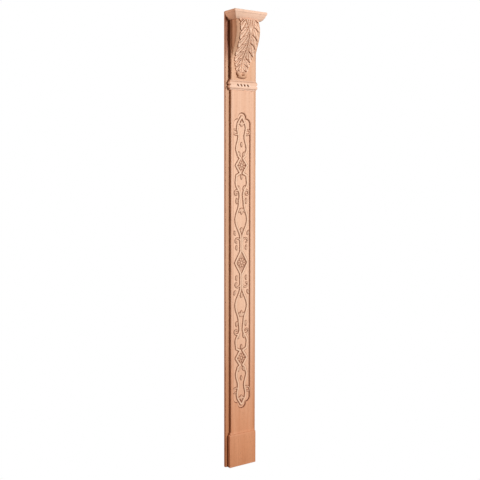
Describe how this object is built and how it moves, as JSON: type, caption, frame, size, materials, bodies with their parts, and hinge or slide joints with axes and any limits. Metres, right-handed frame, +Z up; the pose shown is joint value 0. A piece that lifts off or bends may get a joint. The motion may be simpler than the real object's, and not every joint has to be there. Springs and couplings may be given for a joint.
{
  "type": "carved wall pilaster",
  "caption": "Flat-backed carved beech wall pilaster: plinth block, shaft with a sunk panel of strapwork and rosettes, beaded necking, acanthus console capital and moulded abacus.",
  "frame": {"origin": "middle of the flat back face, where the pilaster lies against the wall", "axes": "+Z up the pilaster, +Y out of the back into the wall, front towards -Y, +X to the right as seen from the front"},
  "size_m": [0.168, 0.089, 2],
  "materials": {
    "board_beech": "planed and sanded steamed beech, bare",
    "shaft_beech": "carved and sanded steamed beech, bare",
    "capital_beech": "carved pale beech, bare"
  },
  "bodies": {
    "root": {"backing_board": "board_beech", "plinth_block": "shaft_beech", "shaft": "shaft_beech", "necking_band": "capital_beech", "capital": "capital_beech", "abacus": "capital_beech"}
  },
  "joints": []
}
